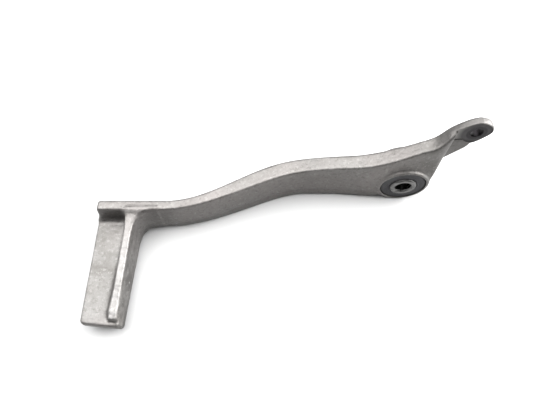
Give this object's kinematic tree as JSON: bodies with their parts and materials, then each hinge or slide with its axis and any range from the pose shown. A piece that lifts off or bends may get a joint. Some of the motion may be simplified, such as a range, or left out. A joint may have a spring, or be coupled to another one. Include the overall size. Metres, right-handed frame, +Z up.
{
  "type": "gear shift lever",
  "caption": "Cast foot lever for a motorcycle: S-bent arm, foot plate with toe rib, sealed pivot boss with steel collar, and a linkage ear.",
  "frame": {"origin": "middle of the pivot bore, half way along the steel collar", "axes": "+X towards the linkage ear, away from the foot plate; Y along the pivot axis with the rider's side at -Y; +Z up, with the lever standing on its lower edge"},
  "size_m": [0.1952, 0.0916, 0.0585],
  "materials": {
    "cast_aluminium": "as cast, lightly blasted, rough",
    "collar_steel": "turned and zinc plated",
    "bush_bronze": "oiled sintered bronze",
    "seal_rubber": "moulded nitrile rubber, matte",
    "seal_steel": "plain steel"
  },
  "bodies": {
    "pivot": {"pivot_collar": "collar_steel"},
    "lever": {"lever_casting": "cast_aluminium", "pivot_bush": "bush_bronze", "front_seal_rubber": "seal_rubber", "front_seal_ring": "seal_steel", "front_seal_spring": "seal_steel", "rear_seal_rubber": "seal_rubber", "rear_seal_ring": "seal_steel", "rear_seal_spring": "seal_steel"}
  },
  "joints": [
    {"name": "lever_swing", "type": "hinge", "parent": "pivot", "child": "lever", "pos_m": [0, 0, 0], "axis": [0, 1, 0], "range_deg": [0, 20]}
  ]
}
